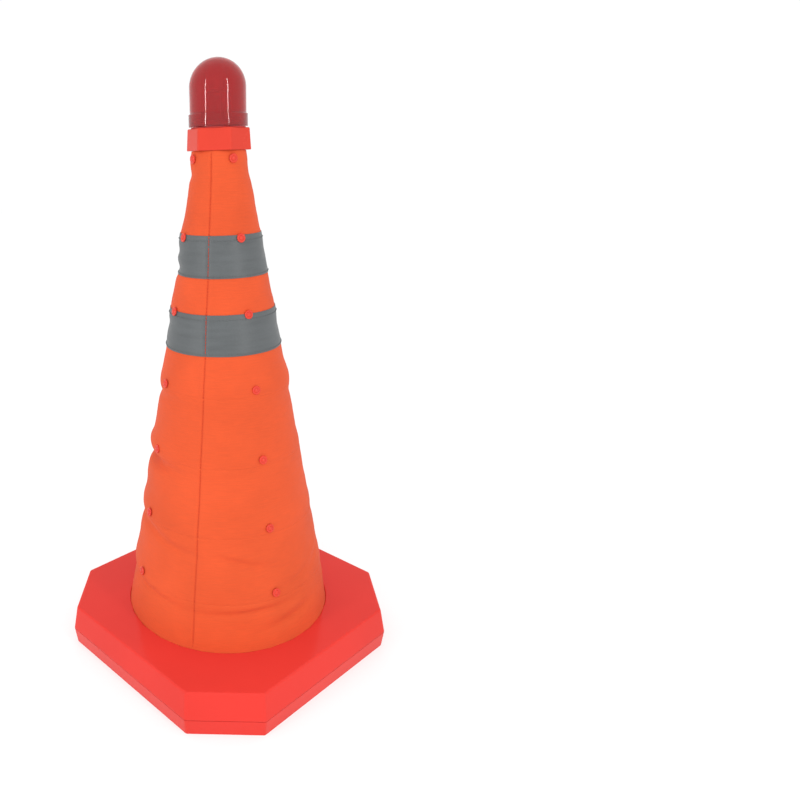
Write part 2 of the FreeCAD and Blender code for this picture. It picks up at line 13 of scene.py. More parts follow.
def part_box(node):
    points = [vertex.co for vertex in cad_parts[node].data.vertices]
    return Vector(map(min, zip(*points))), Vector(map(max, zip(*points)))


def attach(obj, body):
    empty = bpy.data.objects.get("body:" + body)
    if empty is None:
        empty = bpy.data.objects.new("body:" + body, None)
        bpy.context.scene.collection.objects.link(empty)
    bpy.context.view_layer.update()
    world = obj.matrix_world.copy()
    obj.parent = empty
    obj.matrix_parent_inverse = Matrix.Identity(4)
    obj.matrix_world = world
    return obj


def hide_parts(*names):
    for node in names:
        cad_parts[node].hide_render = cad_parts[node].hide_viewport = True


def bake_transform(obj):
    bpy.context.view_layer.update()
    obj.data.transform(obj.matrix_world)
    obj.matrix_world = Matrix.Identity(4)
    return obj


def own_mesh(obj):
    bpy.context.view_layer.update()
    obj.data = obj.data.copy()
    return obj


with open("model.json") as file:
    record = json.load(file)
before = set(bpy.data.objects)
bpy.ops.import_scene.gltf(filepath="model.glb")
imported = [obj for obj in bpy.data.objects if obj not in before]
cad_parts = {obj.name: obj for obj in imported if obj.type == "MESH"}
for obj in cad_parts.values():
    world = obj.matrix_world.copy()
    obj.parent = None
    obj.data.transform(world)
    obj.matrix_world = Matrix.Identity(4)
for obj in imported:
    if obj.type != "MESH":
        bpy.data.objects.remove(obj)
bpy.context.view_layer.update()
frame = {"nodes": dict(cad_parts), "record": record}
NODES = frame["nodes"]
SLOT_OF = {entry["node"]: entry["material_slot"] for entry in frame["record"]["subparts"]}

MM = 0.001
TURN = 2 * math.pi


# ---------------------------------------------------------------- places taken from the frame

def middle(node):
    """The middle of a node's box."""
    low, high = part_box(node)
    return (low + high) / 2


HOOPS = [middle("hoop_%d" % number).z for number in range(1, 7)]
NECK_RIVETS = middle("collar_rivets").z
BASE_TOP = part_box("base_shell")[1].z
HEM_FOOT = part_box("sleeve_panel_1")[0].z
HEM_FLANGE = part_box("sleeve_panel_1")[1].x
SLEEVE_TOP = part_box("sleeve_panel_7")[1].z
PANEL_JOINTS = [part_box("sleeve_panel_%d" % number)[0].z for number in range(2, 8)]
PANEL_ENDS = [HEM_FOOT, *PANEL_JOINTS, SLEEVE_TOP]
# The bodies from the floor up; panel n of the sleeve runs from body n - 1 to body n.
BODIES = ["base"] + ["stage_%d" % number for number in range(1, 7)] + ["head"]

# The sleeve's outer face: a straight cone, drawn in to the hem and to the collar's neck.
CONE_FOOT_RADIUS = 134.9 * MM
CONE_TAPER = 0.1768
HEM_RADIUS = 125.0 * MM
NECK_CLOTH_FOOT = 584 * MM
NECK_CLOTH_RADIUS = 30.2 * MM
CLOTH = 0.8 * MM
BAND_CLOTH = 0.7 * MM

# Every level has four rivets, a quarter turn apart from this one.
RIVET_AZIMUTH = math.radians(-15)
HOOP_RIVET_GRIP = 3.3
NECK_RIVET_GRIP = 4.05


# ---------------------------------------------------------------- mesh tools

def add_piece(name, points, faces, smooth=True):
    mesh = bpy.data.meshes.new(name)
    mesh.from_pydata([tuple(point) for point in points], [], faces)
    mesh.polygons.foreach_set("use_smooth", [smooth] * len(mesh.polygons))
    mesh.update()
    piece = bpy.data.objects.new(name, mesh)
    bpy.context.scene.collection.objects.link(piece)
    return piece


def grid_faces(rows, columns, closed_rows=False):
    """Quads of a grid whose columns run round and close; rows close too for a ring shape."""
    faces = []
    for row in range(rows if closed_rows else rows - 1):
        above = (row + 1) % rows
        for column in range(columns):
            beside = (column + 1) % columns
            faces.append((row * columns + column, row * columns + beside,
                          above * columns + beside, above * columns + column))
    return faces


def lathe(name, profile, segments):
    """Turns a closed profile of (radius, height) points round the Z axis into a solid ring."""
    angles = np.linspace(0, TURN, segments, endpoint=False)
    points = []
    for radius, height in profile:
        for angle in angles:
            points.append((radius * math.cos(angle), radius * math.sin(angle), height))
    return add_piece(name, points, grid_faces(len(profile), segments, True))


def arc(centre, radius, start, end, steps):
    """Points of a round stretch of a profile, angles in degrees."""
    points = []
    for angle in np.linspace(math.radians(start), math.radians(end), steps):
        points.append((centre[0] + radius * math.cos(angle), centre[1] + radius * math.sin(angle)))
    return points


def tube(path, radius, sides):
    """Points and faces of a round bar along a path, with flat ends."""
    path = np.asarray(path, float)
    along = np.gradient(path, axis=0)
    along /= np.linalg.norm(along, axis=1)[:, None]
    up = np.array([0, 0, 1.0]) if abs(along[0][2]) < 0.9 else np.array([1.0, 0, 0])
    points = []
    for place, forward in zip(path, along):
        across = np.cross(forward, up)
        across /= np.linalg.norm(across)
        lift = np.cross(across, forward)
        for side in range(sides):
            angle = TURN * side / sides
            points.append(place + radius * (across * math.cos(angle) + lift * math.sin(angle)))
    faces = grid_faces(len(path), sides)
    faces.append(tuple(range(sides)))
    faces.append(tuple(range(len(points) - 1, len(points) - 1 - sides, -1)))
    return points, faces


def add_many(name, parts):
    """One piece from many (points, faces) pairs."""
    points = []
    faces = []
    for more_points, more_faces in parts:
        offset = len(points)
        points.extend(more_points)
        faces.extend([tuple(offset + corner for corner in face) for face in more_faces])
    return add_piece(name, points, faces)


def outward(piece):
    """Turns every face outwards."""
    work = bmesh.new()
    work.from_mesh(piece.data)
    bmesh.ops.recalc_face_normals(work, faces=work.faces)
    work.to_mesh(piece.data)
    work.free()
    return piece


def even_normals(piece):
    """Lets the large faces set the shading, so that narrow rims and fillets stay crisp."""
    piece.modifiers.new("normals", "WEIGHTED_NORMAL").weight = 90
    return piece


def outline(sides, radius, arc_steps=6, side_steps=5):
    """Points round a convex polygon with rounded corners; sides are (direction, distance)."""
    points = []
    for (turn, out), (next_turn, next_out) in zip(sides, sides[1:] + sides[:1]):
        first = Vector((math.cos(turn), math.sin(turn)))
        second = Vector((math.cos(next_turn), math.sin(next_turn)))
        cross = first.x * second.y - first.y * second.x
        centre = Vector((second.y * (out - radius) - first.y * (next_out - radius),
                         first.x * (next_out - radius) - second.x * (out - radius))) / cross
        bend = (next_turn - turn) % TURN
        for step in range(arc_steps + 1):
            angle = turn + bend * step / arc_steps
            points.append(centre + radius * Vector((math.cos(angle), math.sin(angle))))
    ring = []
    for place, point in enumerate(points):
        ring.append(point)
        if place % (arc_steps + 1) == arc_steps:
            after = points[(place + 1) % len(points)]
            ring.extend(point.lerp(after, step / side_steps) for step in range(1, side_steps))
    return ring


def moulding(name, stations):
    """A closed ring-shaped solid through outlines of equal length; a station is (points, height)."""
    points = []
    for ring, height in stations:
        points.extend((point.x, point.y, height) for point in ring)
    piece = outward(add_piece(name, points, grid_faces(len(stations), len(stations[0][0]), True)))
    return even_normals(piece)


def circle_like(ring, radius):
    """A circle with a point at the same angle as each point of an outline."""
    return [point.normalized() * radius for point in ring]


# ---------------------------------------------------------------- materials

def linear(red, green, blue):
    """A screen colour, 0 to 255, as the linear colour that the shaders take."""
    values = []
    for channel in (red, green, blue):
        share = channel / 255
        values.append(share / 12.92 if share <= 0.04045 else ((share + 0.055) / 1.055) ** 2.4)
    return (*values, 1.0)


class Finish:
    """A Principled material with helpers for patterns."""

    def __init__(self, name, roughness, **sockets):
        self.material = bpy.data.materials.new(name)
        self.material.use_nodes = True
        self.tree = self.material.node_tree
        self.shader = self.tree.nodes["Principled BSDF"]
        self.shader.inputs["Roughness"].default_value = roughness
        for socket, value in sockets.items():
            self.shader.inputs[socket.replace("_", " ")].default_value = value
        self.place = self.tree.nodes.new("ShaderNodeTexCoord").outputs["Object"]

    def node(self, kind, **settings):
        made = self.tree.nodes.new(kind)
        for setting, value in settings.items():
            setattr(made, setting, value)
        return made

    def link(self, source, target):
        self.tree.links.new(source, target)

    def stretched(self, scale, where=None):
        """Places for a pattern that is drawn out along an axis."""
        mapping = self.node("ShaderNodeMapping")
        mapping.inputs["Scale"].default_value = scale
        self.link(where or self.place, mapping.inputs["Vector"])
        return mapping.outputs["Vector"]

    def noise(self, scale, detail=2.0, where=None):
        texture = self.node("ShaderNodeTexNoise")
        texture.inputs["Scale"].default_value = scale
        texture.inputs["Detail"].default_value = detail
        self.link(where or self.place, texture.inputs["Vector"])
        return texture.outputs["Fac"]

    def ramp(self, source, *stops):
        """Colours at places from 0 to 1."""
        made = self.node("ShaderNodeValToRGB")
        elements = made.color_ramp.elements
        while len(elements) < len(stops):
            elements.new(0.5)
        for element, (place, colour) in zip(elements, stops):
            element.position = place
            element.color = colour
        self.link(source, made.inputs["Fac"])
        return made.outputs["Color"]

    def between(self, source, low, high):
        """Spreads the middle of a noise over the range from low to high."""
        made = self.node("ShaderNodeMapRange")
        limits = {"From Min": 0.3, "From Max": 0.7, "To Min": low, "To Max": high}
        for socket, value in limits.items():
            made.inputs[socket].default_value = value
        self.link(source, made.inputs["Value"])
        return made.outputs["Result"]

    def multiplied(self, first, second):
        made = self.node("ShaderNodeMix", data_type="RGBA", blend_type="MULTIPLY")
        made.inputs["Factor"].default_value = 1.0
        self.link(first, made.inputs["A"])
        self.link(second, made.inputs["B"])
        return made.outputs["Result"]

    def bump(self, source, strength, depth, before=None):
        made = self.node("ShaderNodeBump")
        made.inputs["Strength"].default_value = strength
        made.inputs["Distance"].default_value = depth
        self.link(source, made.inputs["Height"])
        if before is not None:
            self.link(before, made.inputs["Normal"])
        self.link(made.outputs["Normal"], self.shader.inputs["Normal"])
        return made.outputs["Normal"]

    def colour(self, source):
        self.link(source, self.shader.inputs["Base Color"])

    def rough(self, source):
        self.link(source, self.shader.inputs["Roughness"])


def shade(colour, share):
    """A colour made darker or lighter by a share."""
    return tuple(min(1.0, channel * share) for channel in colour[:3]) + (1.0,)


def moulded_plastic(name, colour, roughness, gloss=0.5, grain=900.0):
    """Injection-moulded plastic: faint cloudy colour, fine grain and uneven polish."""
    finish = Finish(name, roughness, Specular_IOR_Level=gloss)
    clouds = finish.noise(9.0, 3.0)
    finish.colour(finish.ramp(clouds, (0.3, shade(colour, 0.95)), (0.7, shade(colour, 1.04))))
    finish.rough(finish.between(finish.noise(35.0, 6.0), roughness * 0.85, roughness * 1.2))
    finish.bump(finish.noise(grain, 2.0), 0.12, 0.0001)
    return finish.material


def woven_cloth(name, colour, pitch, depth):
    """Plain weave by the piece's own UVs, in metres, with slubs, wear and a soft sheen."""
    finish = Finish(name, 0.75, Sheen_Weight=0.04, Sheen_Roughness=0.5, Specular_IOR_Level=0.12)
    where = finish.node("ShaderNodeUVMap", uv_map="cloth").outputs["UV"]
    threads = []
    for direction in ("X", "Y"):
        wave = finish.node("ShaderNodeTexWave", wave_type="BANDS", bands_direction=direction)
        wave.inputs["Scale"].default_value = TURN / 20 / pitch
        wave.inputs["Distortion"].default_value = 0.6
        finish.link(where, wave.inputs["Vector"])
        threads.append(wave.outputs["Color"])
    weave = finish.multiplied(*threads)
    clouds = finish.noise(14.0, 4.0)
    slubs = finish.noise(1.0, 3.0, finish.stretched((60.0, 900.0, 1.0), where))
    tone = finish.ramp(clouds, (0.32, shade(colour, 0.93)), (0.68, shade(colour, 1.05)))
    slub_tone = finish.ramp(slubs, (0.35, (0.93, 0.93, 0.93, 1)), (0.65, (1, 1, 1, 1)))
    thread_tone = finish.ramp(weave, (0.0, (0.82, 0.82, 0.82, 1)), (0.6, (1, 1, 1, 1)))
    toned = finish.multiplied(tone, slub_tone)
    finish.colour(finish.multiplied(toned, thread_tone))
    finish.rough(finish.between(slubs, 0.66, 0.84))
    creases = finish.bump(finish.noise(120.0, 4.0), 0.25, 0.0006)
    finish.bump(weave, 0.5, depth, creases)
    return finish.material


def reflective_tape(name, colour):
    """Glass-bead tape: fine beads, faint rubbing along its length, satin."""
    finish = Finish(name, 0.42, Specular_IOR_Level=0.3)
    where = finish.node("ShaderNodeUVMap", uv_map="cloth").outputs["UV"]
    beads = finish.node("ShaderNodeTexVoronoi")
    beads.inputs["Scale"].default_value = 1600.0
    finish.link(where, beads.inputs["Vector"])
    rubbed = finish.noise(1.0, 5.0, finish.stretched((18.0, 160.0, 1.0), where))
    tone = finish.ramp(rubbed, (0.3, shade(colour, 0.9)), (0.7, shade(colour, 1.08)))
    bead_tone = finish.ramp(beads.outputs["Distance"], (0.0, (1, 1, 1, 1)),
                            (0.8, (0.85, 0.85, 0.85, 1)))
    finish.colour(finish.multiplied(tone, bead_tone))
    finish.rough(finish.between(rubbed, 0.36, 0.52))
    finish.bump(beads.outputs["Distance"], 0.2, 0.0001)
    return finish.material


def clear_plastic(name, colour, roughness, dye, density, clear=1.0, gloss=0.5):
    """Plastic that is see-through as far as clear says, dyed through its depth, faintly uneven."""
    finish = Finish(name, roughness, Transmission_Weight=clear, IOR=1.49, Base_Color=colour,
                    Specular_IOR_Level=gloss)
    finish.bump(finish.noise(60.0, 2.0), 0.04, 0.0004)
    depth = finish.node("ShaderNodeVolumeAbsorption")
    depth.inputs["Color"].default_value = dye
    depth.inputs["Density"].default_value = density
    finish.link(depth.outputs["Volume"], finish.tree.nodes["Material Output"].inputs["Volume"])
    return finish.material


def bare_metal(name, colour, roughness, stretch):
    """Drawn or plated metal with fine lines."""
    finish = Finish(name, roughness, Metallic=1.0)
    lines = finish.noise(1.0, 5.0, finish.stretched(stretch))
    finish.colour(finish.ramp(lines, (0.3, shade(colour, 0.85)), (0.7, shade(colour, 1.1))))
    finish.rough(finish.between(lines, roughness * 0.8, roughness * 1.25))
    return finish.material


BASE_RED = (0.68, 0.042, 0.032, 1.0)
COLLAR_RED = (0.62, 0.05, 0.03, 1.0)
HOOP_ORANGE = (0.8, 0.12, 0.03, 1.0)
SLEEVE_ORANGE = (0.77, 0.1, 0.03, 1.0)
RIVET_RED = (0.66, 0.05, 0.03, 1.0)
TAPE_GREY = (0.108, 0.117, 0.121, 1.0)
LENS_RED = (0.72, 0.028, 0.032, 1.0)
LENS_DYE = (0.88, 0.08, 0.08, 1.0)
LAMP_WHITE = (0.88, 0.86, 0.84, 1.0)
LED_PINK = (0.95, 0.5, 0.45, 1.0)
LED_DYE = (0.95, 0.5, 0.5, 1.0)
# The seal's darker red is painted shade: it stands for the dark shadow line between the lamp's rim and
# the collar.
SEAL_SHADOW_RED = (0.55, 0.05, 0.05, 1.0)
FINE_GRAIN = 4000.0

MATERIALS = {
    "base_plastic": moulded_plastic("base_plastic", BASE_RED, 0.16, 0.09),
    "collar_plastic": moulded_plastic("collar_plastic", COLLAR_RED, 0.24, 0.07),
    "hoop_plastic": moulded_plastic("hoop_plastic", HOOP_ORANGE, 0.45, 0.3),
    "rivet_plastic": moulded_plastic("rivet_plastic", RIVET_RED, 0.25, 0.2),
    "sleeve_cloth": woven_cloth("sleeve_cloth", SLEEVE_ORANGE, 0.9 * MM, 0.12 * MM),
    "reflective_cloth": reflective_tape("reflective_cloth", TAPE_GREY),
    "spring_steel": bare_metal("spring_steel", linear(170, 170, 172), 0.35, (400.0, 400.0, 40.0)),
    "screw_steel": bare_metal("screw_steel", linear(195, 195, 200), 0.3, (900.0, 900.0, 900.0)),
    "lens_plastic": clear_plastic("lens_plastic", LENS_RED, 0.05, LENS_DYE, 900.0,
                                  clear=0.76, gloss=0.2),
    "lamp_plastic": moulded_plastic("lamp_plastic", LAMP_WHITE, 0.4),
    "cell_sleeve": moulded_plastic("cell_sleeve", linear(60, 62, 66), 0.3),
    "contact_metal": bare_metal("contact_metal", linear(205, 170, 100), 0.3, (600.0, 600.0, 600.0)),
    "board": moulded_plastic("board", linear(226, 218, 204), 0.4),
    "led_plastic": clear_plastic("led_plastic", LED_PINK, 0.1, LED_DYE, 300.0),
    "seal_rubber": moulded_plastic("seal_rubber", SEAL_SHADOW_RED, 0.7, 0.3),
    "thread": moulded_plastic("thread", linear(205, 70, 42), 0.8, 0.2, FINE_GRAIN),
    "grey_thread": moulded_plastic("grey_thread", linear(96, 99, 100), 0.8, 0.2, FINE_GRAIN),
}


def dress(piece, name):
    """Gives a piece its material."""
    piece.data.materials.clear()
    piece.data.materials.append(MATERIALS[name])
    return piece


def dress_cad_nodes():
    """Gives each CAD mesh the material of its slot in the record."""
    for node, piece in NODES.items():
        for place in piece.material_slots:
            place.material = MATERIALS[SLOT_OF[node]]


# ---------------------------------------------------------------- the sleeve's shape

def facing(angle, centre, width):
    """1 where an angle faces centre, falling smoothly to 0 at width away; all in degrees."""
    off = np.abs((np.degrees(angle) - centre + 180) % 360 - 180)
    share = np.clip(1 - off / width, 0, 1)
    return share * share * (3 - 2 * share)


def hump(distance, width):
    """A soft bump, 1 at no distance."""
    return np.exp(-(distance / width) ** 2)


def plain_radius(height):
    """The straight cone, with its hem and the stretch round the collar's neck."""
    radius = CONE_FOOT_RADIUS - CONE_TAPER * height
    hem_end = PANEL_ENDS[1]
    hem_share = (height - BASE_TOP) / (hem_end - BASE_TOP)
    hem = HEM_RADIUS + hem_share * (CONE_FOOT_RADIUS - CONE_TAPER * hem_end - HEM_RADIUS)
    radius = np.where(height < hem_end, hem, radius)
    neck_start = CONE_FOOT_RADIUS - CONE_TAPER * NECK_CLOTH_FOOT
    neck_share = (height - NECK_CLOTH_FOOT) / (SLEEVE_TOP - NECK_CLOTH_FOOT)
    neck = neck_start + neck_share * (NECK_CLOTH_RADIUS - neck_start)
    return np.where(height > NECK_CLOTH_FOOT, neck, radius)


def plain_radius_at(height):
    """The same at one height, as a plain number."""
    return float(plain_radius(np.array([height]))[0])


# How deep in mm the cloth tucks in under each hoop and the collar's rivets, lowest first, on the
# lumpy side and on the plain one, and how far it stands out over the hoop on the plain side.
TUCKS_LUMPY = (2.6, 5.0, 15.0, 3.6, 1.0, 3.0, 2.4)
TUCKS_PLAIN = (0.0, 0.0, 0.0, 0.6, 0.0, 0.0, 0.4)
BULGES_PLAIN = (1.1, 1.1, 1.2, 3.4, 1.6, 0.8, 0.0)
# Where those sides face and how far round they reach, in degrees.
LUMPY_SIDE = -138
LUMPY_REACH = 75
PLAIN_SIDE = 42
PLAIN_REACH = 95
# Single creases: middle azimuth, height, how far they run each way in degrees, rise in mm per
# degree, half width in mm and depth in mm.
CREASES = (
    (-84, 163, 22, -0.3, 4.5, 2.4),
    (-34, 150, 15, -0.55, 4.5, 2.6),
    (-30, 94, 22, 0.06, 3.5, 2.6),
    (-100, 99, 22, -0.15, 4.0, 2.0),
    (-6, 76, 15, 0.35, 6.0, 2.6),
    (-135, 472, 45, 0.0, 9.0, 3.4),
    (2, 118, 12, 0.35, 5.0, 1.2),
    (28, 128, 13, 0.7, 5.0, 1.3),
    (-42, 246, 14, 0.1, 4.0, 0.6),
    (55, 180, 16, 0.5, 6.0, 1.0),
    (120, 150, 24, 0.3, 5.0, 1.6),
    (165, 228, 26, -0.3, 5.0, 1.4),
    (-165, 300, 22, 0.35, 5.0, 1.2),
    (95, 320, 26, -0.25, 5.0, 1.1),
    (140, 410, 24, 0.3, 4.0, 0.9),
    (-150, 95, 20, 0.25, 5.0, 1.6),
)


def folds(angle, height):
    """How far the cloth stands off the straight cone, in metres."""
    off = np.zeros_like(height)
    lumpy = facing(angle, LUMPY_SIDE, LUMPY_REACH)
    plain = facing(angle, PLAIN_SIDE, PLAIN_REACH)
    levels = HOOPS + [NECK_RIVETS]
    between_rivets = np.sin(2 * (angle - RIVET_AZIMUTH)) ** 2
    tucks = zip(levels, TUCKS_LUMPY, TUCKS_PLAIN, BULGES_PLAIN)
    for number, (level, deep, shallow, bulge) in enumerate(tucks):
        above = height - level
        depth = (lumpy * deep + plain * shallow) * MM
        # The tuck: a little full at the hoop, drawn in under it, a little full again lower down.
        sway = 1 + 0.2 * np.sin(3 * angle + 2.1 * number)
        off += depth * 0.15 * hump(above - 2 * MM, 8 * MM)
        off -= depth * hump(above + 17 * MM, 6.5 * MM) * sway
        off += depth * 0.12 * hump(above + 38 * MM, 14 * MM)
        # The hoop shows between the rivets that pull the cloth in, with a faint pucker under it.
        off += 0.5 * MM * between_rivets * hump(above, 12 * MM)
        strength = 0.5 + 0.5 * np.sin(2 * angle + 1.7 * number)
        off -= 0.35 * MM * strength * hump(above + (12 + 9 * between_rivets) * MM, 5 * MM)
        off += bulge * MM * plain * hump(above, 16 * MM)
    # Between two levels the cloth hangs in on the lumpy side and stays full on the plain one.
    for low, high in zip([BASE_TOP] + levels[:-1], levels):
        share = np.clip((height - low) / (high - low), 0, 1)
        off -= (0.6 + 0.9 * lumpy - 1.4 * plain) * MM * np.sin(math.pi * share) ** 2
    degrees = np.degrees(angle)
    for middle_angle, level, reach, rise, width, depth in CREASES:
        along = (degrees - middle_angle + 180) % 360 - 180
        line = height - (level + rise * along) * MM
        run = hump(along, reach)
        off -= depth * MM * run * hump(line, width * MM)
        off += 0.5 * depth * MM * run * hump(line - 1.9 * width * MM, 1.3 * width * MM)
    return off


SEAM_FOOT_AZIMUTH = -62.8
SEAM_DRIFT = 4


def seam_angle(height):
    """The sewn seam up the cone; it drifts a little round."""
    share = (height - BASE_TOP) / (SLEEVE_TOP - BASE_TOP)
    return np.radians(SEAM_FOOT_AZIMUTH + SEAM_DRIFT * share)


# The cloth's mesh: its columns' distances in mm from the seam, how many go round the rest, and
# how far apart its rows are.
SEAM_STEPS = (0.0, 0.5, 1.0, 1.6, 2.6, 4.2, 7.0)
ROUND_STEPS = 170
ROW_STEP = 2.3 * MM


def column_angles(height, radius):
    """Angles of the columns of one row: close together at the seam, even elsewhere."""
    near = np.array(SEAM_STEPS) * MM / radius
    even = np.linspace(near[-1], TURN - near[-1], ROUND_STEPS)[1:-1]
    return seam_angle(height) + np.concatenate([near, even, TURN - near[:0:-1]])


def seam_groove(arc_length):
    """How far the sewn line lies in, and the folded edges beside it swell out."""
    swelling = 0.35 * MM * hump(np.abs(arc_length) - 4 * MM, 3 * MM)
    return swelling - 0.7 * MM * hump(arc_length, 1.0 * MM)


def ripple(angle, height, radius):
    """Fine unevenness of hand-sewn cloth; the same each time."""
    values = np.empty_like(angle)
    for column, turn in enumerate(angle):
        place = Vector((radius * math.cos(turn) * 28, radius * math.sin(turn) * 28, height * 60))
        values[column] = noise.noise(place) * 0.5 + noise.noise(place * 2.7) * 0.18
    return values * MM


def cloth_radius(angles, height):
    """How far the cloth's outer face is from the cone's axis, with folds, ripple and seam."""
    plain = plain_radius_at(height)
    radius = plain + folds(angles, np.full_like(angles, height)) + ripple(angles, height, plain)
    from_seam = (angles - seam_angle(height) + math.pi) % TURN - math.pi
    return radius + seam_groove(from_seam * plain)


def level_ring(angles, radius, height):
    return np.stack([radius * np.cos(angles), radius * np.sin(angles), np.full_like(angles, height)],
                    axis=1)


def sleeve_row(height):
    """One level ring of the cloth's outer face: its points, and how far round from the seam."""
    plain = plain_radius_at(height)
    angles = column_angles(height, plain)
    # The folds die out at the base and under the collar, where the cloth is held.
    held = 8 * MM
    calm = np.clip((height - BASE_TOP) / held, 0, 1) * np.clip((SLEEVE_TOP - height) / held, 0, 1)
    radius = plain + (cloth_radius(angles, height) - plain) * calm
    return level_ring(angles, radius, height), (angles - seam_angle(height)) * plain


def cloth_piece(name, heights, extra_rows=()):
    """A ring of cloth through the given levels; extra rows are (radius, height) below it."""
    rows = []
    across = []
    for radius, height in extra_rows:
        angles = column_angles(height, radius)
        rows.append(level_ring(angles, radius, height))
        across.append((angles - angles[0]) * radius)
    for height in heights:
        points, arc_lengths = sleeve_row(height)
        rows.append(points)
        across.append(arc_lengths)
    columns = len(rows[0])
    piece = add_piece(name, np.concatenate(rows), grid_faces(len(rows), columns))
    levels = [height for _, height in extra_rows] + list(heights)
    layer = piece.data.uv_layers.new(name="cloth")
    for polygon in piece.data.polygons:
        corner_columns = [vertex % columns for vertex in polygon.vertices]
        wraps = max(corner_columns) - min(corner_columns) > 1
        for loop, vertex in zip(polygon.loop_indices, polygon.vertices):
            row, column = divmod(vertex, columns)
            along = across[row][column]
            if wraps and column == 0:
                along += TURN * plain_radius_at(levels[row])
            layer.data[loop].uv = (along, levels[row])
    return piece


def thicken(piece, thickness, offset):
    """Gives a cloth its thickness, inwards for offset -1 and outwards for 1."""
    solid = piece.modifiers.new("thickness", "SOLIDIFY")
    solid.thickness = thickness
    solid.offset = offset
    return even_normals(piece)


def levels_between(low, high):
    """Even heights from low to high for the rows of a cloth's mesh."""
    count = round((high - low) / ROW_STEP) + 1
    return np.linspace(low, high, count)


def bend(piece, number):
    """Bakes the piece's place into its mesh; number is not used."""
    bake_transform(piece)


def make_sleeve():
    for number in range(1, 8):
        low = PANEL_ENDS[number - 1]
        high = PANEL_ENDS[number]
        extra = ()
        if number == 1:
            # The hem turns out under the shell, where the hem ring clamps it.
            low = HEM_FOOT + 4 * MM
            flange = HEM_FOOT + 0.9 * MM
            extra = ((HEM_FLANGE - 0.5 * MM, flange), (HEM_RADIUS + 2 * MM, flange),
                     (HEM_RADIUS + 0.4 * MM, HEM_FOOT + 2 * MM))
        piece = cloth_piece("cloth_panel_%d" % number, levels_between(low, high), extra)
        thicken(piece, CLOTH, -1)
        dress(piece, "sleeve_cloth")
        bend(piece, number)
        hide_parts("sleeve_panel_%d" % number)


def make_band(node, number):
    """A reflective band round panel `number`."""
    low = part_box(node)[0].z
    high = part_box(node)[1].z
    piece = cloth_piece(node.replace("band", "reflective_band"), levels_between(low, high))
    thicken(piece, BAND_CLOTH, 1)
    dress(piece, "reflective_cloth")
    bend(piece, number)
    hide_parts(node)


# ---------------------------------------------------------------- stitches

STITCH = 2.3 * MM
STITCH_GAP = 1.2 * MM
THREAD_RADIUS = 0.38 * MM
SEAM_LIFT = 0.2 * MM
BAND_LIFT = BAND_CLOTH + 0.1 * MM


def cloth_point(angle, height, lift):
    """A point on the cloth's outer face, lifted off it."""
    radius = cloth_radius(np.array([angle]), height)[0] + lift
    return np.array([radius * math.cos(angle), radius * math.sin(angle), height])


def stitch(start, end, out):
    """One short thread that dips into the cloth at both ends."""
    rise = np.array([-0.35, 0.25, 0.4, 0.25, -0.35]) * MM
    shares = np.linspace(0, 1, len(rise))
    path = [start + (end - start) * share + out * lift for share, lift in zip(shares, rise)]
    return tube(path, THREAD_RADIUS, 6)


def make_seam_stitches():
    """The threads up the seam; they pass over the bands."""
    tape = [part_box(node) for node in ("lower_band", "upper_band")]
    for number in range(1, 8):
        parts = []
        height = max(PANEL_ENDS[number - 1], BASE_TOP + 2 * MM)
        while height + STITCH < PANEL_ENDS[number]:
            on_tape = any(low.z < height < high.z for low, high in tape)
            lift = SEAM_LIFT + BAND_CLOTH if on_tape else SEAM_LIFT
            start = cloth_point(float(seam_angle(height)), height, lift)
            end = cloth_point(float(seam_angle(height + STITCH)), height + STITCH, lift)
            out = np.array([start[0], start[1], 0])
            parts.append(stitch(start, end, out / np.linalg.norm(out)))
            height += STITCH + STITCH_GAP
        piece = dress(add_many("seam_stitches_%d" % number, parts), "thread")
        bend(piece, number)


def make_band_stitches(node, number):
    """Two rows of threads round a band, near its edges."""
    parts = []
    for height in (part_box(node)[0].z + 2.2 * MM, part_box(node)[1].z - 5.5 * MM):
        radius = plain_radius_at(height)
        count = int(TURN * radius / (STITCH + STITCH_GAP))
        for step in range(count):
            angle = TURN * step / count
            reach = STITCH / radius
            start = cloth_point(angle, height, BAND_LIFT)
            end = cloth_point(angle + reach, height, BAND_LIFT)
            out = np.array([math.cos(angle + reach / 2), math.sin(angle + reach / 2), 0])
            parts.append(stitch(start, end, out))
    piece = dress(add_many(node + "_stitches", parts), "grey_thread")
    bend(piece, number)


# ---------------------------------------------------------------- rivets

def rivet_profile(grip):
    """(distance from the rivet's axis, distance out from the cloth), from the inner flange out.

    Grip is how far in from the cloth the rivet reaches, in mm; the shape is drawn in mm.
    """
    inner = -grip - 1.25
    head = 1.15
    profile = [(0.02, inner), (2.9, inner), (3.2, inner + 0.3), (3.2, inner + 1), (2, inner + 1),
               (2, head), (4.7, head), (5, head + 0.3)]
    profile += arc((4.1, head + 0.9), 0.9, 0, 90, 5)
    profile += [(3.3, head + 1.75), (2.9, head + 1.35), (2.55, head + 1.4), (2.35, head + 1.9)]
    profile += [(1.6, head + 2.35), (0.7, head + 2.5), (0.02, head + 2.52)]
    return [(radius * MM, out * MM) for radius, out in profile]


def make_rivets(name, node, body, height, surface, grip, tilt):
    """Four rivets square to what they hold, each a solid of revolution."""
    segments = 36
    profile = rivet_profile(grip)
    parts = []
    for quarter in range(4):
        turn = RIVET_AZIMUTH + quarter * TURN / 4
        place = (Matrix.Rotation(turn, 4, "Z") @ Matrix.Translation((surface, 0, height))
                 @ Matrix.Rotation(math.pi / 2 - tilt, 4, "Y"))
        points = []
        for radius, out in profile:
            for step in range(segments):
                angle = TURN * step / segments
                points.append(place @ Vector((radius * math.cos(angle), radius * math.sin(angle), out)))
        faces = grid_faces(len(profile), segments)
        faces.append(tuple(range(segments)))
        faces.append(tuple(range(len(points) - segments, len(points))))
        parts.append((points, faces))
    piece = outward(add_many(name, parts))
    dress(piece, "rivet_plastic")
    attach(piece, body)
    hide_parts(node)


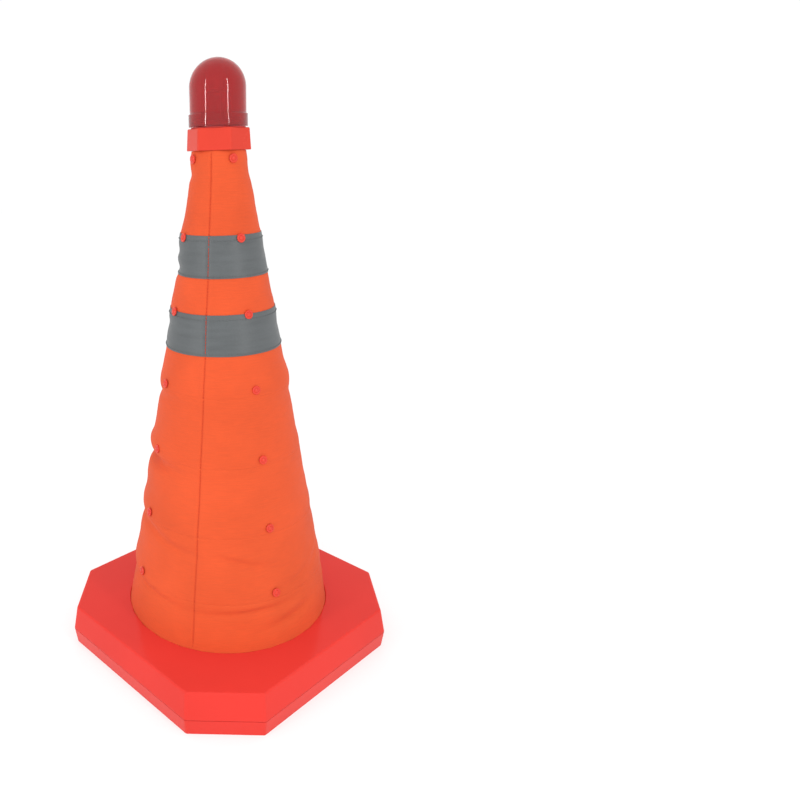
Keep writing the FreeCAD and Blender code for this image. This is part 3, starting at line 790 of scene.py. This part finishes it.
def make_all_rivets():
    """Those of the hoops, square to the cone, and the collar's, level."""
    for number, height in enumerate(HOOPS, start=1):
        surface = CONE_FOOT_RADIUS - CONE_TAPER * height
        make_rivets("rivets_%d" % number, "hoop_%d_rivets" % number, BODIES[number], height,
                    surface, HOOP_RIVET_GRIP, math.atan(CONE_TAPER))
    surface = NECK_CLOTH_RADIUS + 0.6 * MM
    make_rivets("rivets_neck", "collar_rivets", "head", NECK_RIVETS, surface, NECK_RIVET_GRIP, 0)


# ---------------------------------------------------------------- spring and lamp

def make_spring():
    """The conical wire spring with a closed turn at each end, on the base."""
    low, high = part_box("main_spring")
    wire = 1.25 * MM
    foot_radius = 106 * MM
    top_radius = 21.5 * MM
    foot = low.z + wire
    top = high.z - wire - 2 * MM
    turns = 7
    end_turn = 0.9
    steps = 64
    eased = 0.35
    path = []
    for step in range(int(steps * (turns + 2 * end_turn)) + 1):
        turn = step / steps
        share = min(max((turn - end_turn) / turns, 0), 1)
        smooth = share * share * (3 - 2 * share)
        radius = foot_radius + (top_radius - foot_radius) * share
        height = foot + (top - foot) * (smooth * eased + share * (1 - eased))
        path.append((radius * math.cos(TURN * turn), radius * math.sin(TURN * turn), height))
    piece = outward(add_many("spring_coil", [tube(path, wire, 10)]))
    dress(piece, "spring_steel")
    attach(piece, "base")
    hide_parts("main_spring")
    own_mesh(piece)


def make_lens():
    """The red cover: dome, straight wall, rim with a rounded shoulder, and the inner snap lip."""
    low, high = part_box("lens")
    rim = (high.x - low.x) / 2
    outer = rim - 1.5 * MM
    inner = outer - 2 * MM
    centre = high.z - outer
    rim_top = low.z + 13.5 * MM
    lip = 26.7 * MM
    lip_top = low.z + 1.3 * MM
    soft = 0.8 * MM
    # The dome stops just short of the axis, which leaves a pinhole instead of stacked points.
    nearly_up = 89.9
    outside = [(lip + 0.2 * MM, low.z)]
    outside += arc((rim - soft, low.z + soft), soft, -90, 0, 5)
    outside += arc((rim - soft, rim_top - soft), soft, 0, 90, 5)
    outside += [(outer + 0.35 * MM, rim_top), (outer, rim_top + 0.35 * MM),
                (outer, rim_top + 3 * MM)]
    outside += arc((0, centre), outer, 0, nearly_up, 30)
    inside = arc((0, centre), inner, nearly_up, 0, 26)
    inside += [(inner, rim_top + 2 * MM), (inner, lip_top + 0.3 * MM),
               (inner - 0.3 * MM, lip_top), (lip, lip_top), (lip, low.z + 0.2 * MM)]
    piece = outward(lathe("lamp_cover", outside + inside, 128))
    dress(piece, "lens_plastic")
    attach(piece, "lamp_cover")
    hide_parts("lens")


# ---------------------------------------------------------------- base cover and collar

def side_list(directions, distances):
    """The sides of an outline, from directions in degrees."""
    return [(math.radians(turn), distance) for turn, distance in zip(directions, distances)]


def make_base_cover():
    """The octagonal top moulding: sloping sides, rounded edges and a round mouth for the sleeve."""
    low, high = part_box("base_shell")
    foot = low.z
    top = high.z
    seam = high.x
    # The sides lean in by 4.8 mm on their way up, and the cut corners by a little more.
    slope = 4.8 * MM / (top - foot)
    corner_slope = 1.14 * slope
    cut_corner = seam + 26.6 * MM
    soft = 2.5 * MM
    wall = 2.5 * MM
    mouth = 125.6 * MM
    rim = 1.2 * MM
    directions = [45 * step for step in range(8)]

    def ring(inset, height, radius=4 * MM):
        rise = height - foot
        reach = (seam - slope * rise - inset, cut_corner - corner_slope * rise - inset)
        return outline(side_list(directions, reach * 4), radius)

    stations = [(ring(0.7 * MM, foot), foot), (ring(0.15 * MM, foot + 0.2 * MM), foot + 0.2 * MM)]
    stations += [(ring(0, foot + lift), foot + lift) for lift in (0.9 * MM, 10 * MM, 20 * MM)]
    for angle in np.radians(np.linspace(8, 90, 7)):
        height = top - soft + soft * math.sin(angle)
        level = ring(soft * (1 - math.cos(angle)), top - soft)
        stations.append((level, height))
    last = stations[-1][0]
    for angle in np.radians(np.linspace(90, 0, 5)):
        level = circle_like(last, mouth + rim - rim * math.cos(angle))
        stations.append((level, top - rim + rim * math.sin(angle)))
    stations.append((circle_like(last, mouth), top - wall))
    stations.append((ring(wall, top - wall), top - wall))
    stations.append((ring(wall, foot), foot))
    piece = dress(moulding("base_cover", stations), "base_plastic")
    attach(piece, "base")
    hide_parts("base_shell")


def make_collar_cap():
    """The six-sided cap, wider at its foot, bored for the neck below and the lamp's cup above."""
    low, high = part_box("collar")
    foot = low.z
    top = high.z
    foot_reach = 31.5 * MM
    lean = 1.3 * MM / (top - foot)
    turned = 8
    corner = 3.2 * MM
    directions = [turned + 60 * step for step in range(6)]

    def ring(inset, height):
        reach = foot_reach - lean * (height - foot) - inset
        return outline(side_list(directions, [reach] * 6), corner, arc_steps=8, side_steps=6)

    stations = []
    for edge, start, end in ((0.8 * MM, -90, 0), (1.2 * MM, 0, 90)):
        middle_height = foot + edge if end == 0 else top - edge
        for angle in np.radians(np.linspace(start, end, 6)):
            height = middle_height + edge * math.sin(angle)
            stations.append((ring(edge * (1 - math.cos(angle)), height), height))
    last = stations[-1][0]
    hole, bore, socket = 18.4 * MM, 27 * MM, 29 * MM
    ceiling = top - 2.5 * MM
    shoulder = foot + 3.5 * MM
    for radius, height in ((hole, top), (hole, ceiling), (bore, ceiling),
                           (bore, shoulder), (socket, shoulder), (socket, foot)):
        stations.append((circle_like(last, radius), height))
    piece = dress(moulding("collar_cap", stations), "collar_plastic")
    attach(piece, "head")
    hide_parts("collar")


# ---------------------------------------------------------------- stage, lights and camera

def make_floor():
    """A white floor that glows a little, so that it stays white round the cone's shadow."""
    reach = 8
    corners = [(-reach, -reach, 0), (reach, -reach, 0), (reach, reach, 0), (-reach, reach, 0)]
    floor = add_piece("floor", corners, [(0, 1, 2, 3)], smooth=False)
    floor.location.z = -0.05 * MM
    finish = Finish("floor", 0.9, Specular_IOR_Level=0.05, Emission_Strength=0.61)
    finish.shader.inputs["Emission Color"].default_value = (1, 1, 1, 1)
    darker = (0.38, 0.38, 0.38, 1)
    lighter = (0.4, 0.4, 0.4, 1)
    finish.colour(finish.ramp(finish.noise(2.0), (0.3, darker), (0.7, lighter)))
    floor.data.materials.append(finish.material)


def look_from(place, target):
    """The turn that points a light from one place to another."""
    return (Vector(target) - Vector(place)).to_track_quat("-Z", "Y")


def add_light(name, azimuth, elevation, distance, width, tall, power, mirrored=True):
    """A soft box aimed at the middle of the cone; azimuth 0 is on the camera's side."""
    turn = math.radians(azimuth + CAMERA_AZIMUTH)
    lift = math.radians(elevation)
    target = Vector((0, 0, 0.35))
    level = math.cos(lift)
    outwards = Vector((math.sin(turn) * level, -math.cos(turn) * level, math.sin(lift)))
    place = target + distance * outwards
    data = bpy.data.lights.new(name, "AREA")
    data.shape = "RECTANGLE"
    data.size = width
    data.size_y = tall
    data.energy = power
    light = bpy.data.objects.new(name, data)
    light.location = place
    light.rotation_mode = "QUATERNION"
    light.rotation_quaternion = look_from(place, target)
    light.visible_glossy = mirrored
    bpy.context.scene.collection.objects.link(light)


# The view is built looking along +Y and then turned round the cone; angles in degrees.
CAMERA_AZIMUTH = 45
CAMERA_PLACE = (596.4 * MM, -565.3 * MM, 593.25 * MM)
CAMERA_DOWN = 14.994
CAMERA_LEFT = 3.838
CAMERA_ROLL = 1.724
CAMERA_LENS = 32.23
CAMERA_SHIFT = (0.2564, -0.0626)


def make_lights():
    """An even white room, two strips that show as bright lines, and two boxes that do not."""
    bpy.context.scene.view_settings.view_transform = "Standard"
    world = bpy.data.worlds.new("studio")
    bpy.context.scene.world = world
    world.use_nodes = True
    world.node_tree.nodes["Background"].inputs["Color"].default_value = (1, 1, 1, 1)
    world.node_tree.nodes["Background"].inputs["Strength"].default_value = 1.02
    for name, azimuth in (("strip_left", -48), ("strip_right", 42)):
        add_light(name, azimuth, elevation=12, distance=1.6, width=0.06, tall=1.3, power=6)
    add_light("front_box", -8, elevation=30, distance=2.2, width=1.0, tall=1.0, power=5,
              mirrored=False)
    add_light("top_box", 0, elevation=88, distance=2.4, width=1.6, tall=1.6, power=2,
              mirrored=False)


def make_camera():
    data = bpy.data.cameras.new("camera")
    data.lens = CAMERA_LENS
    data.sensor_width = 36
    data.shift_x, data.shift_y = CAMERA_SHIFT
    data.clip_start = 0.01
    data.clip_end = 50
    camera = bpy.data.objects.new("camera", data)
    down = math.radians(CAMERA_DOWN)
    side = math.radians(-CAMERA_LEFT)
    forward = Vector((math.sin(side) * math.cos(down), math.cos(side) * math.cos(down),
                      -math.sin(down)))
    right = Vector((math.cos(side), -math.sin(side), 0))
    up = right.cross(forward)
    roll = math.radians(-CAMERA_ROLL)
    axes = (right * math.cos(roll) + up * math.sin(roll),
            up * math.cos(roll) - right * math.sin(roll),
            -forward)
    turn = Matrix.Rotation(math.radians(CAMERA_AZIMUTH), 3, "Z")
    facing_cone = (turn @ Matrix(axes).transposed()).to_4x4()
    camera.matrix_world = Matrix.Translation(CAMERA_PLACE) @ facing_cone
    bpy.context.scene.collection.objects.link(camera)
    bpy.context.scene.camera = camera


# ---------------------------------------------------------------- the whole scene

dress_cad_nodes()
make_sleeve()
make_band("lower_band", 5)
make_band("upper_band", 6)
make_seam_stitches()
make_band_stitches("lower_band", 5)
make_band_stitches("upper_band", 6)
make_all_rivets()
make_spring()
make_lens()
make_base_cover()
make_collar_cap()
make_floor()
make_lights()
make_camera()
